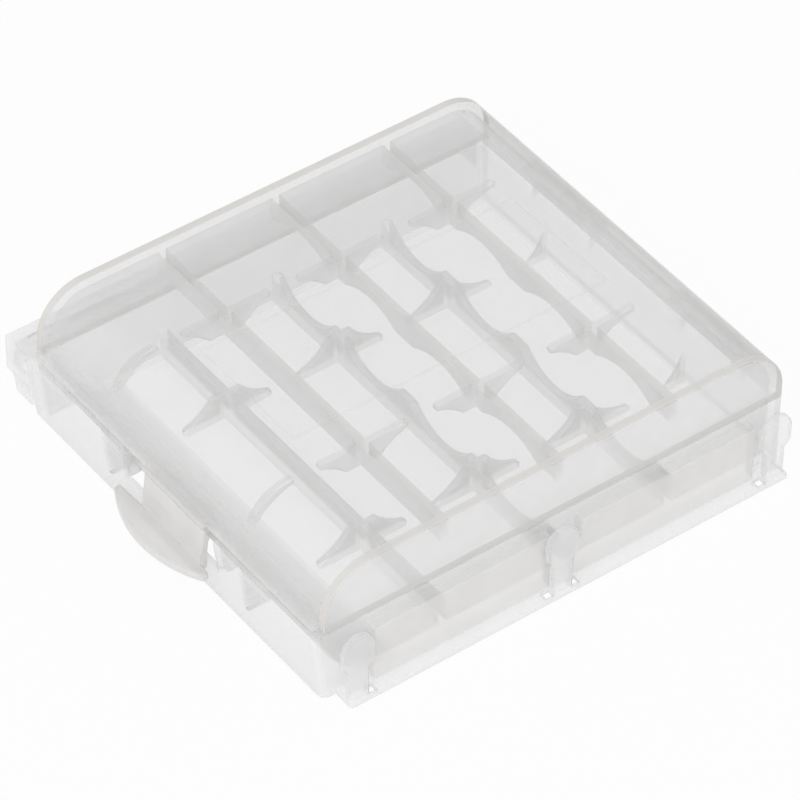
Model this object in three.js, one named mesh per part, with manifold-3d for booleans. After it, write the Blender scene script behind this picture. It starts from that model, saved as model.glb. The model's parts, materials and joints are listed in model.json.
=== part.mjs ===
// A frosted clear plastic case for four round cells, with a domed lid.
// Millimetres, +Z up. The lid hinges along the right side (+X), the thumb latch is on the left
// side (-X), a joining rail is on the front wall (-Y) and a joining hook on the back wall (+Y).

import * as THREE from 'three';
import { mergeVertices } from 'three/addons/utils/BufferGeometryUtils.js';
import Module from 'manifold-3d';

const wasm = await Module();
wasm.setup();

// What the case holds: four cells along Y, or four thinner ones laid crosswise
const cellRadius = 7.1;
const cellLength = 50.5;
const cellClearance = 0.4;
const sideClearance = 0.3;
const cellStandoff = 0.9;
const channelPlay = 0.55;
const endPlay = 1.45;

// Shell
const wall = 1.1;
const cornerRadius = 1.05;
const seamRise = 1;
const seamGap = 0.15;
const legHeight = 1.8;

// Ribs, their cross wings and the cradles for the thinner cells
const ribShift = 0.75;
const ribThickness = 1.1;
const plainRibHeight = 3.6;
const cradleRibHeight = 4.1;
const lidRibDepth = 3.05;
const wingThickness = 0.9;
const wingGap = 3.85;
const crossShift = 1.15;
const crossMargin = 0.7;
const baseCradleDepth = 2.4;
const baseCradleSpacing = 2.6;
const lidCradleDepth = 1.45;
const lidCradleSpacing = 3.4;
const gussetReach = 2.6;
const gussetHeight = 3.9;
const bladeDrop = 5.2;
const bladeInset = 0.9;

// Outer skirt on the latch side, with a notch for the latch tongue
const skirtTopReach = 1.6;
const skirtFootReach = 0.35;
const skirtThickness = 0.9;
const ledgeThickness = 1;
const sillDrop = 0.15;
const webThickness = 0.9;
const webFoot = 1.2;
const webFrontSpacing = 4.1;
const webBackSpacing = 4.5;

// Latch
const flangeReach = 1;
const flangeThickness = 0.8;
const rootReach = 1.5;
const flexGap = 0.2;
const tongueWidth = 11.5;
const tongueCentreY = -1.25;
const tongueThickness = 0.8;
const tongueTopReach = 1.35;
const tongueFootReach = 1.85;
const tabThickness = 1.1;
const tabDrop = 5.1;
const tabReach = 3.2;
const tabEndReach = 0.75;
const tabWidth = 17.3;
const tabCentreY = 0.05;
const notchPlay = 0.3;
const keeperReach = 0.25;
const keeperHeight = 0.8;
const keeperDrop = 0.25;
const catchClearance = 0.08;
const catchDrop = 0.2;
const catchHeight = 0.9;

// Front rail: a shelf, two pads and three ears
const shelfReach = 2.9;
const shelfThickness = 0.9;
const shelfLeftInset = 1.4;
const shelfRightInset = 0.9;
const shelfCorner = 0.6;
const padReach = 1.3;
const padDrop = 1.15;
const padLeftInset = 5.7;
const padRightInset = 4.7;
const padLeftSpacing = 1;
const padRightSpacing = 3.3;
const padStep = 0.9;
const padStepDrop = 2.5;
const earLeftInset = 2.8;
const earRightInset = 2.5;
const earMiddleX = -1;
const earDrop = 0.05;
const earWidth = 4.3;
const earNeck = 2.5;
const earHeadHeight = 4.25;
const earTaper = 1;
const earThickness = 0.9;
const earSetback = 0.4;
const earClearance = 0.2;

// Back hook: a slotted shelf, a hanging lip and its ends
const hookReach = 4.2;
const hookThickness = 1;
const lipThickness = 0.8;
const lipDrop = 4.95;
const hookEndThickness = 0.9;
const panelRim = 1;
const panelDepth = 0.5;
const guideReach = 3.2;
const guideThickness = 0.7;
const guideInset = 0.2;
const guideBottom = 1.7;
const slotFrontY = 1.5;
const slotWidth = 1.4;

// Hinge: the lid's clips turn on bars between the base's lugs
const hingeOffset = 1.4;
const knuckleRadius = 1.2;
const barRadius = 0.6;
const barClearance = 0.08;
const clipMouth = 0.9;
const clipLength = 8;
const lugLength = 2.5;
const hingeSideGap = 0.2;
const lugDrop = 2.7;
const lugTopDrop = 0.45;
const lugFootAngle = -60;
const lugTopAngle = 120;
const armTop = 1.6;
const armReach = 0.6;

// Engraved outline on the lid's top
const labelMargin = 3.5;
const labelDepth = 17.6;
const labelShiftX = 0.1;
const labelShiftY = 0.9;
const grooveWidth = 0.3;
const grooveDepth = 0.12;

// Facets
const domeSteps = 12;
const cornerSteps = 14;
const cradleSteps = 8;
const roundSteps = 24;
const lugSteps = 12;
const filletSteps = 6;

// Values worked out from the sizes above
const ribPitch = 2 * cellRadius + ribThickness + channelPlay;
const caseWidth = 4 * ribPitch;
const caseDepth = cellLength + 2 * (endPlay + wall);
const caseHeight = 2 * (cellRadius + cellStandoff + wall);
const halfWidth = caseWidth / 2;
const halfDepth = caseDepth / 2;
const innerX = halfWidth - wall;
const innerY = halfDepth - wall;
const seamHeight = caseHeight / 2 + seamRise;
const baseTop = seamHeight - seamGap;
const domeRadius = caseHeight - seamHeight - legHeight;
const lidUnderside = caseHeight - wall;
const cellAxisZ = caseHeight / 2;
const cradleRadius = cellRadius + cellClearance;
const wingReach = (ribPitch - wingGap) / 2;
const ribXs = [-1, 0, 1].map((i) => ribShift + i * ribPitch);
const crossPitch = (innerY - crossMargin) / 2;
const baseCradleWidth = crossPitch - baseCradleSpacing;
const lidCradleWidth = crossPitch - lidCradleSpacing;
const stations = { front: crossShift - crossPitch, back: crossShift + crossPitch };
const tabTop = seamHeight - tabDrop;
const notchReach = tabWidth / 2 + notchPlay;
const notchFront = tabCentreY - notchReach;
const notchBack = tabCentreY + notchReach;
const sillHeight = tabTop - sillDrop;
const padTop = baseTop - padDrop;
const earHeight = seamHeight - earDrop;
const earShoulder = earHeight - earHeadHeight;
const earNeckTop = earShoulder - earTaper;
const lipBottom = baseTop - lipDrop;
const hingeX = halfWidth + hingeOffset;
const hingeZ = caseHeight / 2;
const hingeCentresY = { front: -caseDepth / 4, back: caseDepth / 4 };

const earCentres = {
  left: -halfWidth + earLeftInset,
  middle: earMiddleX,
  right: halfWidth - earRightInset,
};

// Sides of each ear's neck that have a hole in the shelf
const earOpenings = { left: [1], middle: [-1, 1], right: [-1] };

const padSpans = [
  {
    name: 'left',
    from: -halfWidth + padLeftInset,
    to: earMiddleX - padLeftSpacing,
    step: 0,
  },
  {
    name: 'right',
    from: earMiddleX + padRightSpacing,
    to: halfWidth - padRightInset,
    step: padStep,
  },
];

const cellXs = [
  -innerX + cellRadius + sideClearance,
  (ribXs[0] + ribXs[1]) / 2,
  (ribXs[1] + ribXs[2]) / 2,
  innerX - cellRadius - sideClearance,
];

const frosted = { color: '#e4e6e6', roughness: 0.38, metalness: 0 };

// Extrusions of an outline along one axis
function outlineShape(points, holes = []) {
  const shape = new THREE.Shape(points.map(([u, v]) => new THREE.Vector2(u, v)));
  for (const hole of holes) {
    shape.holes.push(new THREE.Path(hole.map(([u, v]) => new THREE.Vector2(u, v))));
  }
  return shape;
}

function extrude(points, depth, holes) {
  const options = { depth, bevelEnabled: false, steps: 1 };
  return new THREE.ExtrudeGeometry(outlineShape(points, holes), options);
}

function alongZ(points, from, to, holes) {
  return extrude(points, to - from, holes).translate(0, 0, from);
}

// Points are X and Z
function alongY(points, from, to, holes) {
  return extrude(points, to - from, holes).rotateX(Math.PI / 2).translate(0, to, 0);
}

// Points are Y and Z
function alongX(points, from, to, holes) {
  const turn = new THREE.Matrix4().makeBasis(
    new THREE.Vector3(0, 1, 0),
    new THREE.Vector3(0, 0, 1),
    new THREE.Vector3(1, 0, 0),
  );
  return extrude(points, to - from, holes).applyMatrix4(turn).translate(from, 0, 0);
}

function rectangle(u0, u1, v0, v1) {
  return [[u0, v0], [u1, v0], [u1, v1], [u0, v1]];
}

function block(x0, x1, y0, y1, z0, z1) {
  const size = new THREE.BoxGeometry(x1 - x0, y1 - y0, z1 - z0);
  return size.translate((x0 + x1) / 2, (y0 + y1) / 2, (z0 + z1) / 2);
}

// Points on a circle, from one angle to another in degrees
function arc(cu, cv, radius, from, to, steps) {
  return Array.from({ length: steps + 1 }, (_, i) => {
    const angle = THREE.MathUtils.degToRad(from + ((to - from) * i) / steps);
    return [cu + radius * Math.cos(angle), cv + radius * Math.sin(angle)];
  });
}

// The place on a line of points, ordered by height, at one height
function pointAtHeight(points, height) {
  for (let i = 1; i < points.length; i += 1) {
    const [u0, v0] = points[i - 1];
    const [u1, v1] = points[i];
    if ((height - v0) * (height - v1) <= 0) {
      return [u0 + ((u1 - u0) * (height - v0)) / (v1 - v0), height];
    }
  }
  throw new Error('No point at this height');
}

function mirrored(points) {
  return points.map(([u, v]) => [u, caseHeight - v]);
}

// Joining and cutting
function toSolid(geometry) {
  const bare = geometry.clone();
  bare.deleteAttribute('normal');
  bare.deleteAttribute('uv');
  const merged = mergeVertices(bare, 1e-4);
  return new wasm.Manifold(new wasm.Mesh({
    numProp: 3,
    vertProperties: new Float32Array(merged.attributes.position.array),
    triVerts: new Uint32Array(merged.index.array),
  }));
}

function toGeometry(solid) {
  const mesh = solid.getMesh();
  const geometry = new THREE.BufferGeometry();
  geometry.setAttribute('position', new THREE.BufferAttribute(mesh.vertProperties, 3));
  geometry.setIndex(new THREE.BufferAttribute(mesh.triVerts, 1));
  geometry.computeVertexNormals();
  return geometry;
}

function join(first, ...others) {
  return toGeometry(others.reduce((sum, other) => sum.add(toSolid(other)), toSolid(first)));
}

function cut(first, ...tools) {
  return toGeometry(tools.reduce((rest, tool) => rest.subtract(toSolid(tool)), toSolid(first)));
}

function piece(group, name, geometry) {
  const mesh = new THREE.Mesh(geometry, new THREE.MeshStandardMaterial(frosted));
  mesh.name = name;
  group.add(mesh);
}

// Outlines shared by several pieces
const cornerCentre = [-halfWidth + baseTop, baseTop];
const cornerOuter = arc(...cornerCentre, baseTop, 180, 270, cornerSteps);
const cornerInner = arc(...cornerCentre, baseTop - wall, 180, 270, cornerSteps);
const domeCentre = [halfWidth - domeRadius, caseHeight - domeRadius];
const domeOuter = arc(...domeCentre, domeRadius, 0, 90, domeSteps);
const domeInner = arc(...domeCentre, domeRadius - wall, 0, 90, domeSteps);

function flip(points) {
  return points.map(([x, z]) => [-x, z]);
}

function skirtOuterX(z) {
  return -halfWidth - skirtFootReach - ((skirtTopReach - skirtFootReach) * z) / baseTop;
}

function skirtInnerX(z) {
  return skirtOuterX(z) + skirtThickness;
}

// The curved wall's outer face between two heights, from the lower one up
function cornerFace(bottom, top) {
  const between = cornerOuter.filter(([, z]) => z > bottom && z < top).reverse();
  return [pointAtHeight(cornerOuter, bottom), ...between, pointAtHeight(cornerOuter, top)];
}

function cradleZ(x, cellX) {
  return cellAxisZ - Math.sqrt(cradleRadius ** 2 - (x - cellX) ** 2);
}

// One side of a cross wing, from the rib's edge height down the cradle circle to the tip
function wingSide(ribX, side, cellX, edgeZ) {
  const tipX = ribX + side * wingReach;
  const drop = cellAxisZ - edgeZ;
  const faceX = ribX + (side * ribThickness) / 2;
  const circleX = cellX - side * Math.sqrt(cradleRadius ** 2 - drop ** 2);
  const shoulderX = side > 0 ? Math.max(circleX, faceX) : Math.min(circleX, faceX);
  const points = [];
  for (let i = 0; i <= cradleSteps; i += 1) {
    const x = shoulderX + ((tipX - shoulderX) * i) / cradleSteps;
    points.push([x, Math.min(cradleZ(x, cellX), edgeZ)]);
  }
  return [...points, [tipX, wall]];
}

function crossWing(ribIndex, ribHeight) {
  const ribX = ribXs[ribIndex];
  const edgeZ = wall + ribHeight;
  const right = wingSide(ribX, 1, cellXs[ribIndex + 1], edgeZ);
  const left = wingSide(ribX, -1, cellXs[ribIndex], edgeZ);
  return [...left, ...right.reverse()];
}

// The long edge of a rib, dipping where a crosswise cell lies
function ribOutline(height, cradleDepth, cradleWidth) {
  const top = wall + height;
  const points = [[innerY, wall], [innerY, top]];
  if (cradleDepth > 0) {
    const half = cradleWidth / 2;
    const radius = (half ** 2 + cradleDepth ** 2) / (2 * cradleDepth);
    const spread = THREE.MathUtils.radToDeg(Math.asin(half / radius));
    for (const i of [1.5, 0.5, -0.5, -1.5]) {
      const y = crossShift + i * crossPitch;
      const centreZ = top - cradleDepth + radius;
      points.push(...arc(y, centreZ, radius, 270 + spread, 270 - spread, cradleSteps));
    }
  }
  return [...points, [-innerY, top], [-innerY, wall]].reverse();
}

// A rib with its two cross wings, as it stands on the floor
function ribSections(index, height, cradleDepth, cradleWidth) {
  return {
    outline: ribOutline(height, cradleDepth, cradleWidth),
    wing: crossWing(index, height),
  };
}

function ribGeometry(index, sections, upsideDown) {
  const place = upsideDown ? (points) => mirrored(points).reverse() : (points) => points;
  const x = ribXs[index];
  const half = ribThickness / 2;
  const blade = alongX(place(sections.outline), x - half, x + half);
  const wings = Object.values(stations).map((y) => (
    alongY(place(sections.wing), y - wingThickness / 2, y + wingThickness / 2)
  ));
  return join(blade, ...wings);
}

// The front wall, whose left end leans with the skirt and is rounded in plan
function frontWall() {
  const radius = Math.min(cornerRadius, wall);
  const lean = skirtTopReach - skirtFootReach;
  const left = skirtOuterX(0);
  const right = halfWidth + 2 * lean;
  const plan = [
    ...arc(left + radius, -halfDepth + radius, radius, 180, 270, filletSteps),
    [right, -halfDepth],
    [right, -innerY],
    [left, -innerY],
  ];
  const shear = new THREE.Matrix4().makeShear(0, 0, 0, 0, -lean / baseTop, 0);
  const leaning = alongZ(plan, 0, baseTop).applyMatrix4(shear);
  return cut(leaning, block(halfWidth, right + lean, -caseDepth, 0, -wall, caseHeight));
}

// Base tray
function addTray(group) {
  const end = [
    [skirtOuterX(0), 0],
    [halfWidth, 0],
    [halfWidth, baseTop],
    [skirtOuterX(baseTop), baseTop],
  ];
  const corner = [...cornerOuter, ...cornerInner.slice().reverse()];
  piece(group, 'base_floor', block(cornerCentre[0], halfWidth, -innerY, innerY, 0, wall));
  piece(group, 'base_wall_front', frontWall());
  piece(group, 'base_wall_back', alongY(end, innerY, halfDepth));
  piece(group, 'base_wall_left', alongY(corner, -innerY, innerY));
  piece(group, 'base_wall_right', block(innerX, halfWidth, -innerY, innerY, wall, baseTop));
}

function addBaseRibs(group) {
  ribXs.forEach((_, i) => {
    const sections = i === 0
      ? ribSections(i, plainRibHeight, 0, 0)
      : ribSections(i, cradleRibHeight, baseCradleDepth, baseCradleWidth);
    piece(group, `base_rib_${i + 1}`, ribGeometry(i, sections, false));
  });
  const gusset = [
    [innerX - gussetReach, wall],
    [innerX, wall],
    [innerX, wall + gussetHeight],
    [innerX - gussetReach / 3, wall + gussetHeight / 2],
  ];
  for (const [place, y] of Object.entries(stations)) {
    const geometry = alongY(gusset, y - wingThickness / 2, y + wingThickness / 2);
    piece(group, `base_gusset_${place}`, geometry);
  }
}

// Skirt, ledge, webs and keeper on the latch side
function skirtBand(bottom, top) {
  return [
    [skirtOuterX(bottom), bottom],
    [skirtInnerX(bottom), bottom],
    [skirtInnerX(top), top],
    [skirtOuterX(top), top],
  ];
}

function addSkirt(group) {
  const ledgeZ = baseTop - ledgeThickness;
  const upper = skirtBand(0, ledgeZ);
  const ledge = [
    [skirtOuterX(ledgeZ), ledgeZ],
    pointAtHeight(cornerOuter, ledgeZ),
    [-halfWidth, baseTop],
    [skirtOuterX(baseTop), baseTop],
  ];
  const halves = { front: [-innerY, notchFront], back: [notchBack, innerY] };
  for (const [place, [from, to]] of Object.entries(halves)) {
    piece(group, `base_skirt_${place}`, alongY(upper, from, to));
    piece(group, `base_ledge_${place}`, alongY(ledge, from, to));
  }
  piece(group, 'base_skirt_sill', alongY(skirtBand(0, sillHeight), notchFront, notchBack));

  const webs = {
    front: [notchFront - webFrontSpacing, webFoot],
    notch_front: [notchFront - webThickness, sillHeight],
    notch_back: [notchBack, sillHeight],
    back: [notchBack + webBackSpacing, webFoot],
  };
  for (const [place, [y, foot]] of Object.entries(webs)) {
    const web = [
      [skirtInnerX(foot), foot],
      ...cornerFace(foot, ledgeZ),
      [skirtInnerX(ledgeZ), ledgeZ],
    ];
    piece(group, `base_web_${place}`, alongY(web, y, y + webThickness));
  }

  const keeperTop = baseTop - keeperDrop;
  const keeperFoot = keeperTop - keeperHeight;
  const keeperX = -halfWidth - keeperReach;
  const keeper = [
    [keeperX, keeperFoot],
    ...cornerFace(keeperFoot, keeperTop),
    [keeperX, keeperTop],
  ];
  const keeperFront = tongueCentreY - tongueWidth / 2;
  piece(group, 'base_keeper', alongY(keeper, keeperFront, keeperFront + tongueWidth));
}

// Front rail
function earOutline(centreX) {
  const radius = earWidth / 2;
  const neck = earNeck / 2;
  return [
    [centreX - neck, shelfThickness],
    [centreX + neck, shelfThickness],
    [centreX + neck, earNeckTop],
    [centreX + radius, earShoulder],
    ...arc(centreX, earHeight - radius, radius, 0, 180, domeSteps),
    [centreX - radius, earShoulder],
    [centreX - neck, earNeckTop],
  ];
}

function addRail(group) {
  const edgeY = -halfDepth - shelfReach;
  const earFront = edgeY + earSetback;
  const earBack = earFront + earThickness;
  const openings = [];
  for (const [place, sides] of Object.entries(earOpenings)) {
    for (const side of sides) {
      const near = earCentres[place] + (side * earNeck) / 2;
      const far = earCentres[place] + side * (earWidth / 2 + earClearance);
      const [x0, x1] = [Math.min(near, far), Math.max(near, far)];
      const y1 = earBack + earClearance;
      openings.push(block(x0, x1, earFront, y1, -shelfThickness, 2 * shelfThickness));
    }
  }
  const left = -halfWidth + shelfLeftInset;
  const right = halfWidth - shelfRightInset;
  const plan = [
    ...arc(left + shelfCorner, edgeY + shelfCorner, shelfCorner, 180, 270, filletSteps),
    [right, edgeY],
    [right, -halfDepth],
    [left, -halfDepth],
  ];
  const shelf = alongZ(plan, 0, shelfThickness);
  piece(group, 'rail_shelf', cut(shelf, ...openings));

  for (const { name, from, to, step } of padSpans) {
    const outline = [
      [from - step, shelfThickness],
      [to, shelfThickness],
      [to, padTop],
      [from, padTop],
      ...(step > 0 ? [[from, padTop - padStepDrop], [from - step, padTop - padStepDrop]] : []),
    ];
    piece(group, `rail_pad_${name}`, alongY(outline, -halfDepth - padReach, -halfDepth));
  }
  for (const [place, centreX] of Object.entries(earCentres)) {
    piece(group, `rail_ear_${place}`, alongY(earOutline(centreX), earFront, earBack));
  }
}

// Back hook
function addHook(group) {
  const left = skirtOuterX(baseTop);
  const right = halfWidth;
  const outerY = halfDepth + hookReach;
  const lipY = outerY - lipThickness;
  const shelfZ = baseTop - hookThickness;
  const slots = Object.values(earCentres).map((x) => {
    const half = earWidth / 2 + earClearance;
    const y = halfDepth + slotFrontY;
    return block(x - half, x + half, y, y + slotWidth, shelfZ - hookThickness, caseHeight);
  });
  const shelf = block(left, right, halfDepth, outerY, shelfZ, baseTop);
  piece(group, 'hook_shelf', cut(shelf, ...slots));

  const lipLeft = left + hookEndThickness;
  const lipRight = right - hookEndThickness;
  piece(group, 'hook_lip', block(lipLeft, lipRight, lipY, outerY, lipBottom, shelfZ));

  const endOutline = rectangle(halfDepth, outerY, lipBottom, shelfZ);
  const leftEnd = alongX(endOutline, left, lipLeft);
  const panel = rectangle(halfDepth + panelRim, outerY - panelRim, lipBottom + panelRim, shelfZ - panelRim);
  const recess = alongX(panel, lipLeft - panelDepth, lipLeft + panelDepth);
  piece(group, 'hook_end_left', cut(leftEnd, recess));
  piece(group, 'hook_end_right', alongX(endOutline, lipRight, right));

  const guideX = left + guideInset;
  const guideFootX = guideX + skirtOuterX(guideBottom) - skirtOuterX(lipBottom);
  const guide = [
    [guideFootX, guideBottom],
    [guideFootX + guideThickness, guideBottom],
    [guideX + guideThickness, lipBottom],
    [guideX, lipBottom],
  ];
  piece(group, 'hook_guide', alongY(guide, halfDepth, halfDepth + guideReach));
}

// Hinge lugs and bars on the base
function addHingeBase(group) {
  const lug = alongY([
    [halfWidth, hingeZ - lugDrop],
    ...arc(hingeX, hingeZ, knuckleRadius, lugFootAngle, lugTopAngle, lugSteps),
    [halfWidth, baseTop - lugTopDrop],
  ], 0, lugLength);
  const reach = clipLength / 2 + hingeSideGap;
  const bar = arc(hingeX, hingeZ, barRadius, 0, 360, roundSteps).slice(1);
  for (const [place, y] of Object.entries(hingeCentresY)) {
    piece(group, `hinge_lug_${place}_1`, lug.clone().translate(0, y - reach - lugLength, 0));
    piece(group, `hinge_lug_${place}_2`, lug.clone().translate(0, y + reach, 0));
    piece(group, `hinge_bar_${place}`, alongY(bar, y - reach, y + reach));
  }
}

// Lid shell
function addLidShell(group) {
  const legOuter = [halfWidth, seamHeight];
  const legInner = [innerX, seamHeight];
  const side = [legOuter, ...domeOuter, ...domeInner.slice().reverse(), legInner];
  const end = [legOuter, ...domeOuter, ...flip(domeOuter).reverse(), flip([legOuter])[0]];

  const top = block(-domeCentre[0], domeCentre[0], -innerY, innerY, lidUnderside, caseHeight);
  const labelOutline = (inset) => rectangle(
    labelShiftX - domeCentre[0] + labelMargin + inset,
    labelShiftX + domeCentre[0] - labelMargin - inset,
    labelShiftY - labelDepth / 2 + inset,
    labelShiftY + labelDepth / 2 - inset,
  );
  const outer = labelOutline(0);
  const inner = labelOutline(grooveWidth);
  const groove = alongZ(outer, caseHeight - grooveDepth, caseHeight + wall, [inner.reverse()]);
  piece(group, 'lid_top', cut(top, groove));
  piece(group, 'lid_side_right', alongY(side, -innerY, innerY));
  piece(group, 'lid_side_left', alongY(flip(side).reverse(), -innerY, innerY));
  piece(group, 'lid_wall_front', alongY(end, -halfDepth, -innerY));
  piece(group, 'lid_wall_back', alongY(end, innerY, halfDepth));
}

function addLidRibs(group) {
  ribXs.forEach((_, i) => {
    const depth = i === 0 ? 0 : lidCradleDepth;
    const sections = ribSections(i, lidRibDepth, depth, lidCradleWidth);
    piece(group, `lid_rib_${i + 1}`, ribGeometry(i, sections, true));
  });

  const outer = flip(domeInner).filter(([, z]) => z >= caseHeight - bladeDrop);
  const foot = outer[0];
  const cellX = cellXs[0];
  const startX = -domeCentre[0] + bladeInset;
  const endX = foot[0] + wall;
  const inner = [];
  for (let i = 0; i <= cradleSteps; i += 1) {
    const x = startX + ((endX - startX) * i) / cradleSteps;
    inner.push([x, caseHeight - cradleZ(x, cellX)]);
  }
  const blade = [...outer, [startX, lidUnderside], ...inner];
  for (const [place, y] of Object.entries(stations)) {
    const geometry = alongY(blade.slice().reverse(), y - wingThickness / 2, y + wingThickness / 2);
    piece(group, `lid_blade_${place}`, geometry);
  }
}

function addLidEdge(group) {
  const flangeTop = seamHeight + flangeThickness;
  const flangeX = -halfWidth - flangeReach;
  const halfTongue = tongueWidth / 2;
  const rootX = -halfWidth - rootReach;
  piece(group, 'lid_flange', block(flangeX, -halfWidth, -innerY, innerY, seamHeight, flangeTop));
  piece(group, 'lid_latch_root', block(
    rootX,
    flangeX,
    tongueCentreY - halfTongue,
    tongueCentreY + halfTongue,
    seamHeight,
    flangeTop,
  ));
}

// Clips that snap over the hinge bars, with their mouths facing down and out
function addClips(group) {
  const disc = arc(hingeX, hingeZ, knuckleRadius, 0, 360, roundSteps).slice(1);
  const bore = arc(hingeX, hingeZ, barRadius + barClearance, 0, 360, roundSteps).slice(1);
  const arm = [
    [halfWidth, seamHeight],
    [hingeX - knuckleRadius + 2 * barClearance, hingeZ + barRadius],
    [hingeX, hingeZ],
    [hingeX + armReach, hingeZ + Math.sqrt(knuckleRadius ** 2 - armReach ** 2)],
    [halfWidth, seamHeight + armTop],
  ];
  const mouth = new THREE.BoxGeometry(2 * knuckleRadius, 2 * clipLength, clipMouth)
    .translate(knuckleRadius, 0, 0)
    .rotateY(Math.PI / 4)
    .translate(hingeX, 0, hingeZ);
  const half = clipLength / 2;
  const clip = cut(
    join(alongY(disc, -half, half), alongY(arm, -half, half)),
    alongY(bore, -clipLength, clipLength),
    mouth,
  );
  for (const [place, y] of Object.entries(hingeCentresY)) {
    piece(group, `lid_clip_${place}`, clip.clone().translate(0, y, 0));
  }
}

// Latch: a flexing tongue with a catch, and a thumb tab
function addLatch(group) {
  const tongueTop = seamHeight - flexGap;
  const tongueFoot = tabTop - tabThickness;
  const slope = (tongueFootReach - tongueTopReach) / (tongueTop - tabTop);
  const outerX = (z) => -halfWidth - tongueTopReach - slope * (tongueTop - z);
  const innerFaceX = (z) => outerX(z) + tongueThickness;
  const catchTop = baseTop - keeperDrop - keeperHeight - catchDrop;
  const catchFoot = catchTop - catchHeight;
  const catchX = -halfWidth - keeperReach - catchClearance;
  const halfTongue = tongueWidth / 2;
  const creaseX = outerX(tabTop);
  const tongue = [
    [creaseX, tongueFoot],
    [creaseX + tongueThickness, tongueFoot],
    [innerFaceX(catchFoot), catchFoot],
    [catchX, catchTop],
    [innerFaceX(catchTop), catchTop],
    [innerFaceX(tongueTop), tongueTop],
    [outerX(tongueTop), tongueTop],
    [creaseX, tabTop],
  ];
  const front = tongueCentreY - halfTongue;
  piece(group, 'latch_tongue', alongY(tongue, front, front + tongueWidth));

  const half = tabWidth / 2;
  const crown = tabReach - tabEndReach;
  const radius = (half ** 2 + crown ** 2) / (2 * crown);
  const spread = THREE.MathUtils.radToDeg(Math.asin(half / radius));
  const centreX = creaseX - tabReach + radius;
  const tab = [
    [creaseX, tabCentreY - half],
    [creaseX, tabCentreY + half],
    ...arc(centreX, tabCentreY, radius, 180 - spread, 180 + spread, roundSteps),
  ];
  piece(group, 'latch_tab', alongZ(tab, tongueFoot, tabTop));
}

const base = new THREE.Group();
addTray(base);
addBaseRibs(base);
addSkirt(base);
addRail(base);
addHook(base);
addHingeBase(base);

const lid = new THREE.Group();
addLidShell(lid);
addLidRibs(lid);
addLidEdge(lid);
addClips(lid);

const latch = new THREE.Group();
addLatch(latch);

// The origin is the middle of the whole case's box, at its underside
const assembly = new THREE.Group();
assembly.add(base, lid, latch);
const box = new THREE.Box3().setFromObject(assembly);
const middle = box.getCenter(new THREE.Vector3());
assembly.position.set(-middle.x, -middle.y, -box.min.z);

export default assembly;
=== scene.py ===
import json
import math

import bmesh
import bpy
from mathutils import Matrix, Vector


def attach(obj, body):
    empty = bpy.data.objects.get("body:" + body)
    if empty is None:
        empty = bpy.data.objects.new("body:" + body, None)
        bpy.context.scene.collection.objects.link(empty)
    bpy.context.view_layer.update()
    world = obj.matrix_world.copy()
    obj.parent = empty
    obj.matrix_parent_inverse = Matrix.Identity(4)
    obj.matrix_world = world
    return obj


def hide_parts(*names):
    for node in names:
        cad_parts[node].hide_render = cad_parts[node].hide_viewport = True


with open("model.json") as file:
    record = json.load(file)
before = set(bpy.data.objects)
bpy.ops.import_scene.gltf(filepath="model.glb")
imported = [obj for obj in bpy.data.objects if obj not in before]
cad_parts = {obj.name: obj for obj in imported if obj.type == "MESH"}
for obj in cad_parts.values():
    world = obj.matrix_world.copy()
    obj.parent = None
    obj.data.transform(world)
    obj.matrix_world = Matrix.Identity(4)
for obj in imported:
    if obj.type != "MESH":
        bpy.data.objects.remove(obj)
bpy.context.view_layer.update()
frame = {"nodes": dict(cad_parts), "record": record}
bodies = frame["record"]["behaviour"]["bodies"]
scene = bpy.context.scene

MM = 0.001
TINY = 1e-18

# Camera, as the photograph was taken
AZIMUTH = math.radians(-37.093)
ELEVATION = math.radians(43.66)
ROLL = math.radians(0.8)
CAMERA_AT = Vector((-272.43, -361.14, 437.69)) * MM
LENS = 248.52
SENSOR = 36
NEAREST_SEEN = 0.05
FARTHEST_SEEN = 20

# How much of the light each milky level turns aside where it is met face on
MILKINESS = {
    "panel": 0.14,
    "thick": 0.2,
    "wall": 0.24,
    "rib": 0.33,
    "edge": 0.3,
    "solid": 0.45,
    "rim": 0.7,
}
LEVELS = list(MILKINESS)

# For each group of nodes, by the start of its names, the levels of its faces that look along
# X, Y and Z. The first row that fits a name counts. The levels stand partly for how much plastic
# a face shows and partly for painted shade: the lid's right side is milkier than its left, so
# that it renders greyer, as the side away from the lamp.
LEVELS_BY_FACING_AND_SHADE = (
    ("base_floor", "edge", "edge", "panel"),
    ("base_wall_left", "panel", "edge", "edge"),
    ("base_wall_right", "panel", "edge", "thick"),
    ("base_wall", "edge", "wall", "thick"),
    ("base_rib", "rib", "rib", "edge"),
    ("base_gusset", "rib", "rib", "edge"),
    ("base_skirt", "panel", "edge", "edge"),
    ("base_ledge", "thick", "thick", "thick"),
    ("base_web", "rib", "rib", "edge"),
    ("base_keeper", "rib", "rib", "edge"),
    ("rail_shelf", "edge", "edge", "thick"),
    ("rail_pad", "edge", "solid", "edge"),
    ("rail_ear", "edge", "thick", "edge"),
    ("hook", "thick", "thick", "thick"),
    ("hinge", "thick", "thick", "thick"),
    ("lid_top", "edge", "edge", "panel"),
    ("lid_side_left", "panel", "edge", "panel"),
    # milkier across X than the left side: painted shade on the lid's right side
    ("lid_side_right", "rib", "edge", "panel"),
    ("lid_wall", "rim", "wall", "rim"),
    ("lid_rib", "rib", "wall", "edge"),
    ("lid_blade", "edge", "rib", "edge"),
    ("lid_flange", "edge", "edge", "edge"),
    ("lid_latch_root", "solid", "solid", "solid"),
    ("lid_clip", "thick", "thick", "thick"),
    ("latch", "solid", "solid", "solid"),
)

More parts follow.
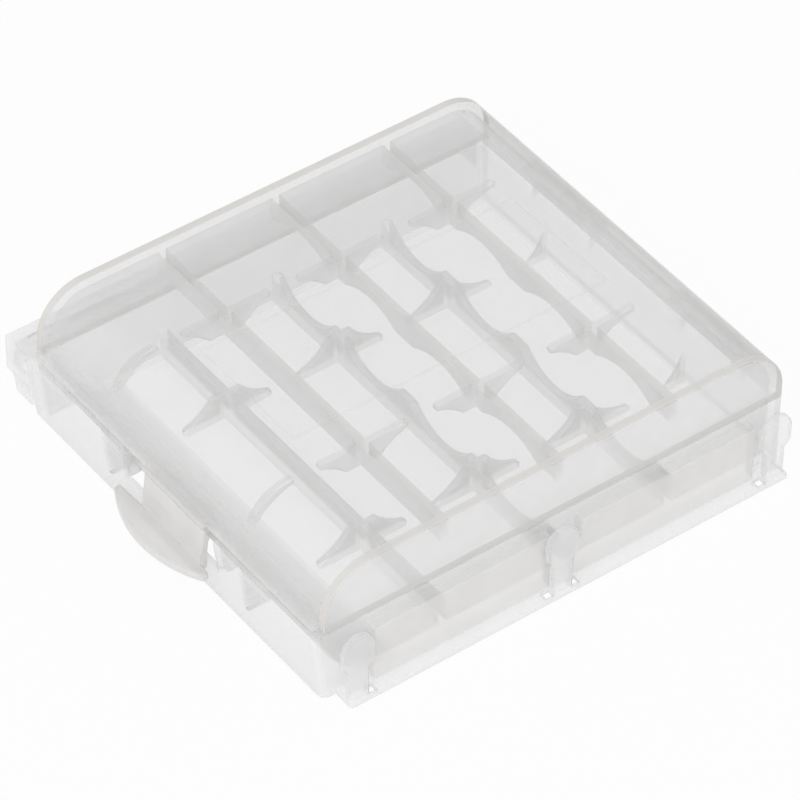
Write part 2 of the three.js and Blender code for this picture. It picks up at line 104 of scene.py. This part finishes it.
# Plastic: its colour where it is thin and clear, and where it is thick and milky
THIN_COLOUR = (0.945, 0.955, 0.957, 1)
THICK_COLOUR = (0.78, 0.755, 0.73, 1)
THIN_UP_TO = 0.18
THICK_FROM = 0.7
ROUGHNESS = 0.35
REFRACTION = 1.49
GRAIN_SIZE = 4 * MM
GRAIN_DETAIL = 1
GRAIN_STRENGTH = 0.5
PLAIN_BLEND = 0.5
LEAST_FACING = 0.1
BODY_COLOUR = (0.56, 0.5, 0.45, 1)
BODY_DENSITY = 0.02

# Fusing the solids of a body
SAME_POINT = 0.0002 * MM
SAME_POINT_FUSED = 0.002 * MM
SLIVER = 0.004 * MM
FLAT_ANGLE = math.radians(0.6)

# Rounding the corners
CORNER_RADIUS = 0.22 * MM
CORNER_SEGMENTS = 3
CORNER_ANGLE = math.radians(28)
CORNER_TRIES = 8
CORNER_SHRINK = 0.4
CORNER_SHARE_OF_ROOM = 0.4
FAULT_REACH = 1.6
PLENTY_OF_ROOM = 1.0
CARRIES_ON_COSINE = -0.85
STRAIGHT_COSINE = -0.8
MOST_CORNERS_OF_A_SIMPLE_FACE = 4
FOLD_LEAST_AREA = 0.05 * MM * MM
FOLD_COSINE = 0.7
SMOOTH_ANGLE = math.radians(32)

# Floor and light
FLOOR_REACH = 3
FLOOR_AT = -0.05 * MM
FLOOR_COLOUR = (0.95, 0.95, 0.95, 1)
FLOOR_GLOW = 0.93
WHITE = (1, 1, 1, 1)
WORLD_STRENGTH = 0.64
KEY_SIZE = 0.6
KEY_ENERGY = 3.0
KEY_AT = (-0.5, -0.5, 0.62)
MOST_LAYERS_SEEN_THROUGH = 48


def add_camera():
    data = bpy.data.cameras.new("camera")
    data.lens = LENS
    data.sensor_width = SENSOR
    data.clip_start = NEAREST_SEEN
    data.clip_end = FARTHEST_SEEN
    camera = bpy.data.objects.new("camera", data)
    scene.collection.objects.link(camera)
    forward = Vector((
        -math.sin(AZIMUTH) * math.cos(ELEVATION),
        math.cos(AZIMUTH) * math.cos(ELEVATION),
        -math.sin(ELEVATION),
    ))
    level = forward.cross(Vector((0, 0, 1))).normalized()
    upright = level.cross(forward)
    right = math.cos(ROLL) * level + math.sin(ROLL) * upright
    up = math.cos(ROLL) * upright - math.sin(ROLL) * level
    camera.matrix_world = Matrix((
        (right.x, up.x, -forward.x, CAMERA_AT.x),
        (right.y, up.y, -forward.y, CAMERA_AT.y),
        (right.z, up.z, -forward.z, CAMERA_AT.z),
        (0, 0, 0, 1),
    ))
    scene.camera = camera


# Meshes
def level_of(node, normal):
    """The milky level of a face of the node, from the axis that it looks along most, painted shade
    included where the table puts it.
    """
    levels = next(look[1:] for look in LEVELS_BY_FACING_AND_SHADE if node.startswith(look[0]))
    return levels[max(range(3), key=lambda axis: abs(normal[axis]))]


def clean_copy(node, marks):
    """The node's mesh, where the milky level of each face is its material, one of the marks."""
    bm = bmesh.new()
    bm.from_mesh(frame["nodes"][node].data)
    bmesh.ops.remove_doubles(bm, verts=bm.verts, dist=SAME_POINT)
    for face in bm.faces:
        face.material_index = LEVELS.index(level_of(node, face.normal))
    mesh = bpy.data.meshes.new(node + "_solid")
    bm.to_mesh(mesh)
    bm.free()
    for mark in marks:
        mesh.materials.append(mark)
    return mesh


def evaluated(obj):
    """The object's mesh with its modifiers applied."""
    graph = bpy.context.evaluated_depsgraph_get()
    return bpy.data.meshes.new_from_object(obj.evaluated_get(graph))


def fused(name, meshes):
    """One closed mesh from several that touch or overlap."""
    others = bpy.data.collections.new(name + "_others")
    solids = [bpy.data.objects.new(f"{name}_{i}", mesh) for i, mesh in enumerate(meshes)]
    first = solids[0]
    scene.collection.objects.link(first)
    for solid in solids[1:]:
        others.objects.link(solid)
    union = first.modifiers.new("union", "BOOLEAN")
    union.operation = "UNION"
    union.solver = "MANIFOLD"
    union.operand_type = "COLLECTION"
    union.collection = others
    mesh = evaluated(first)
    for solid in solids:
        bpy.data.objects.remove(solid)
    bpy.data.collections.remove(others)
    bm = bmesh.new()
    bm.from_mesh(mesh)
    bmesh.ops.remove_doubles(bm, verts=bm.verts, dist=SAME_POINT_FUSED)
    bmesh.ops.triangulate(bm, faces=bm.faces)
    bmesh.ops.dissolve_degenerate(bm, dist=SLIVER, edges=bm.edges)
    bmesh.ops.dissolve_limit(
        bm, angle_limit=FLAT_ANGLE, verts=bm.verts, edges=bm.edges, delimit={"MATERIAL"}
    )
    bm.to_mesh(mesh)
    bm.free()
    return mesh


def sharp_edges(bm):
    """Outward corners."""
    return [
        edge for edge in bm.edges
        if len(edge.link_faces) == 2 and edge.is_convex and edge.calc_face_angle() > CORNER_ANGLE
    ]


def room_at(vert, edge):
    """How far an edge may be rounded at a vertex before it reaches another corner."""
    outward = (edge.other_vert(vert).co - vert.co).normalized()
    room = PLENTY_OF_ROOM
    for other in vert.link_edges:
        if other is not edge:
            line = other.other_vert(vert).co - vert.co
            length = line.length
            cosine = line.dot(outward) / length
            if cosine > CARRIES_ON_COSINE:
                room = min(room, length * math.sqrt(max(0, 1 - cosine * cosine)))
    return room


def straight_on(vert, first, second):
    """Whether one edge carries on from the other at a vertex, without a corner."""
    lines = [(edge.other_vert(vert).co - vert.co).normalized() for edge in (first, second)]
    return lines[0].dot(lines[1]) < STRAIGHT_COSINE


def runs(edges):
    """The edges in groups that carry on from each other, such as round an arc."""
    left = set(edges)
    groups = []
    for start in edges:
        if start not in left:
            continue
        left.remove(start)
        group, todo = [], [start]
        while todo:
            edge = todo.pop()
            group.append(edge)
            for vert in edge.verts:
                for other in vert.link_edges:
                    if other in left and straight_on(vert, edge, other):
                        left.remove(other)
                        todo.append(other)
        groups.append(group)
    return groups


def turn(a, b, c):
    """Above 0 where the way from a over b to c turns left, and below 0 where it turns right."""
    return (b[0] - a[0]) * (c[1] - a[1]) - (b[1] - a[1]) * (c[0] - a[0])


def crossings(face):
    """Places where the outline of a flat face crosses itself."""
    axis = max(range(3), key=lambda i: abs(face.normal[i]))
    u, v = [i for i in range(3) if i != axis]
    places = [vert.co.copy() for vert in face.verts]
    flat = [(co[u], co[v]) for co in places]
    count = len(flat)
    found = []
    for i in range(count):
        a, b = flat[i], flat[(i + 1) % count]
        for j in range(i + 2, count):
            if i == 0 and j == count - 1:
                continue
            c, d = flat[j], flat[(j + 1) % count]
            if turn(a, b, c) * turn(a, b, d) < 0 and turn(c, d, a) * turn(c, d, b) < 0:
                share = turn(c, d, a) / (turn(c, d, a) - turn(c, d, b))
                found.append(places[i].lerp(places[(i + 1) % count], share))
    return found


def folds(bm):
    """Corners of the larger triangles that lean away from their flat face."""
    found = []
    for loops in bm.calc_loop_triangles():
        a, b, c = (loop.vert.co for loop in loops)
        across = (b - a).cross(c - a)
        facing = across.dot(loops[0].face.normal) / max(across.length, TINY)
        if across.length > FOLD_LEAST_AREA and facing < FOLD_COSINE:
            found += [a.copy(), b.copy(), c.copy()]
    return found


def faults_of(mesh):
    """Places where the outline of a face with many corners crosses itself, or a face folds."""
    bm = bmesh.new()
    bm.from_mesh(mesh)
    outlines = [face for face in bm.faces if len(face.verts) > MOST_CORNERS_OF_A_SIMPLE_FACE]
    faults = [place for face in outlines for place in crossings(face)]
    faults += folds(bm)
    bm.free()
    return faults


def distance_to(edge, place):
    """How far a place is from the nearest point of an edge."""
    start, end = (vert.co for vert in edge.verts)
    along = end - start
    share = (place - start).dot(along) / max(along.length_squared, TINY)
    return (place - (start + min(1, max(0, share)) * along)).length


def bevelled(mesh):
    """The mesh with each edge rounded as far as its weight says."""
    obj = bpy.data.objects.new("rounding", mesh)
    scene.collection.objects.link(obj)
    bevel = obj.modifiers.new("bevel", "BEVEL")
    bevel.limit_method = "WEIGHT"
    bevel.width = CORNER_RADIUS
    bevel.segments = CORNER_SEGMENTS
    bevel.use_clamp_overlap = False
    bevel.loop_slide = False
    result = evaluated(obj)
    bpy.data.objects.remove(obj)
    return result


def rounded(mesh):
    """The mesh with its outward corners rounded, by less where there is little room."""
    bm = bmesh.new()
    bm.from_mesh(mesh)
    weight = bm.edges.layers.float.new("bevel_weight_edge")
    groups = runs(sharp_edges(bm))
    for group in groups:
        room = min(room_at(vert, edge) for edge in group for vert in edge.verts)
        for edge in group:
            edge[weight] = min(1, CORNER_SHARE_OF_ROOM * room / CORNER_RADIUS)
    for _ in range(CORNER_TRIES):
        bm.to_mesh(mesh)
        result = bevelled(mesh)
        faults = faults_of(result)
        if not faults:
            break
        for group in groups:
            if any(
                distance_to(edge, place) < FAULT_REACH * CORNER_RADIUS
                for edge in group for place in faults
            ):
                for edge in group:
                    edge[weight] *= CORNER_SHRINK
    bm.free()
    return result


def add_piece(name, mesh, body, material):
    """The visible piece, with its milky levels, painted shade included, as an attribute that its
    one material reads.
    """
    haze_and_shade = mesh.attributes.new("haze_and_shade", "FLOAT", "FACE")
    for face in mesh.polygons:
        haze_and_shade.data[face.index].value = MILKINESS[LEVELS[face.material_index]]
        face.material_index = 0
        face.use_smooth = True
    mesh.materials.clear()
    mesh.materials.append(material)
    obj = bpy.data.objects.new(name, mesh)
    scene.collection.objects.link(obj)
    bpy.context.view_layer.objects.active = obj
    mesh.set_sharp_from_angle(angle=SMOOTH_ANGLE)
    weighted = obj.modifiers.new("normals", "WEIGHTED_NORMAL")
    weighted.keep_sharp = True
    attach(obj, body)
    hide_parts(*bodies[body])
    return obj


# Materials
def math_node(tree, operation, *values):
    """The output of a new Math node, whose inputs are numbers or other nodes' outputs."""
    node = tree.nodes.new("ShaderNodeMath")
    node.operation = operation
    for socket, value in zip(node.inputs, values):
        if isinstance(value, bpy.types.NodeSocket):
            tree.links.new(value, socket)
        else:
            socket.default_value = value
    return node.outputs[0]


def mixed(tree, share, first, second):
    """The output of a new Mix Shader node, which is the second shader where the share is 1."""
    node = tree.nodes.new("ShaderNodeMixShader")
    for socket, source in zip(node.inputs, (share, first.outputs[0], second.outputs[0])):
        tree.links.new(source, socket)
    return node.outputs[0]


def plastic_colour(tree, haze_and_shade):
    """From the thin to the thick colour as the milkiness and painted shade grow, a little uneven.
    """
    place = tree.nodes.new("ShaderNodeTexCoord")
    grain = tree.nodes.new("ShaderNodeTexNoise")
    grain.inputs["Scale"].default_value = 1 / GRAIN_SIZE
    grain.inputs["Detail"].default_value = GRAIN_DETAIL
    tree.links.new(place.outputs["Object"], grain.inputs["Vector"])
    uneven = math_node(tree, "MULTIPLY_ADD", grain.outputs[0], GRAIN_STRENGTH, -GRAIN_STRENGTH / 2)
    thickness = tree.nodes.new("ShaderNodeMapRange")
    thickness.inputs["From Min"].default_value = THIN_UP_TO
    thickness.inputs["From Max"].default_value = THICK_FROM
    tree.links.new(haze_and_shade, thickness.inputs["Value"])
    colour = tree.nodes.new("ShaderNodeMix")
    colour.data_type = "RGBA"
    colour.inputs["A"].default_value = THIN_COLOUR
    colour.inputs["B"].default_value = THICK_COLOUR
    tree.links.new(math_node(tree, "ADD", thickness.outputs[0], uneven), colour.inputs["Factor"])
    return colour.outputs["Result"]


def passed_light(tree, haze_and_shade):
    """The share that goes straight through, less where the surface is met at a slant."""
    facing = tree.nodes.new("ShaderNodeLayerWeight")
    facing.inputs["Blend"].default_value = PLAIN_BLEND
    slant = math_node(tree, "SUBTRACT", 1, facing.outputs["Facing"])
    longer = math_node(tree, "DIVIDE", 1, math_node(tree, "MAXIMUM", slant, LEAST_FACING))
    return math_node(tree, "POWER", math_node(tree, "SUBTRACT", 1, haze_and_shade), longer)


def frosted():
    """Plastic that lets light straight through, but for the milky share it meets on its way."""
    material = bpy.data.materials.new("frosted_plastic")
    material.use_nodes = True
    tree = material.node_tree
    out = tree.nodes["Material Output"]
    milky = tree.nodes["Principled BSDF"]
    milky.inputs["Roughness"].default_value = ROUGHNESS
    milky.inputs["IOR"].default_value = REFRACTION
    clear = tree.nodes.new("ShaderNodeBsdfTransparent")
    # The attribute holds each face's milkiness, and painted shade on the lid's right side.
    attribute = tree.nodes.new("ShaderNodeAttribute")
    attribute.attribute_name = "haze_and_shade"
    haze_and_shade = attribute.outputs["Fac"]
    tree.links.new(plastic_colour(tree, haze_and_shade), milky.inputs["Base Color"])
    tree.links.new(mixed(tree, passed_light(tree, haze_and_shade), milky, clear), out.inputs["Surface"])
    body = tree.nodes.new("ShaderNodeVolumeAbsorption")
    body.inputs["Color"].default_value = BODY_COLOUR
    body.inputs["Density"].default_value = BODY_DENSITY / MM
    tree.links.new(body.outputs[0], out.inputs["Volume"])
    return material


def seen_directly(tree):
    """1 for a ray from the camera, a mirror or through clear plastic, and 0 for others."""
    path = tree.nodes.new("ShaderNodeLightPath")
    seen = path.outputs["Is Camera Ray"]
    for kind in ("Is Glossy Ray", "Is Transmission Ray"):
        seen = math_node(tree, "MAXIMUM", seen, path.outputs[kind])
    return seen


def floor_material():
    """Pale and matte under the object's shadow, and near white to the camera."""
    material = bpy.data.materials.new("floor")
    material.use_nodes = True
    tree = material.node_tree
    tree.nodes.clear()
    out = tree.nodes.new("ShaderNodeOutputMaterial")
    matte = tree.nodes.new("ShaderNodeBsdfDiffuse")
    matte.inputs["Color"].default_value = FLOOR_COLOUR
    glow = tree.nodes.new("ShaderNodeEmission")
    glow.inputs["Strength"].default_value = 1
    share = math_node(tree, "MULTIPLY", seen_directly(tree), FLOOR_GLOW)
    tree.links.new(mixed(tree, share, matte, glow), out.inputs["Surface"])
    return material


# Floor, backdrop and light
def add_floor():
    mesh = bpy.data.meshes.new("floor")
    corners = [(-1, -1), (1, -1), (1, 1), (-1, 1)]
    places = [(x * FLOOR_REACH, y * FLOOR_REACH, FLOOR_AT) for x, y in corners]
    mesh.from_pydata(places, [], [(0, 1, 2, 3)])
    floor = bpy.data.objects.new("floor", mesh)
    mesh.materials.append(floor_material())
    scene.collection.objects.link(floor)


def add_world():
    """Soft light from all round, and a white backdrop."""
    world = bpy.data.worlds.new("studio")
    scene.world = world
    world.use_nodes = True
    tree = world.node_tree
    tree.nodes.clear()
    out = tree.nodes.new("ShaderNodeOutputWorld")
    soft = tree.nodes.new("ShaderNodeBackground")
    white = tree.nodes.new("ShaderNodeBackground")
    for background, strength in ((soft, WORLD_STRENGTH), (white, 1)):
        background.inputs["Color"].default_value = WHITE
        background.inputs["Strength"].default_value = strength
    tree.links.new(mixed(tree, seen_directly(tree), soft, white), out.inputs["Surface"])


def add_key():
    """One large lamp from the front left."""
    data = bpy.data.lights.new("key", "AREA")
    data.size = KEY_SIZE
    data.energy = KEY_ENERGY
    key = bpy.data.objects.new("key", data)
    scene.collection.objects.link(key)
    key.location = KEY_AT
    key.rotation_mode = "QUATERNION"
    key.rotation_quaternion = key.location.to_track_quat("Z", "Y")


scene.view_settings.view_transform = "Standard"
scene.cycles.transparent_max_bounces = MOST_LAYERS_SEEN_THROUGH
add_camera()
add_floor()
add_world()
add_key()
plastic = frosted()
level_marks = [bpy.data.materials.new(level) for level in LEVELS]
for body, names in bodies.items():
    mesh = fused(body, [clean_copy(name, level_marks) for name in names])
    mesh = rounded(mesh)
    add_piece(body + "_moulding", mesh, body, plastic)
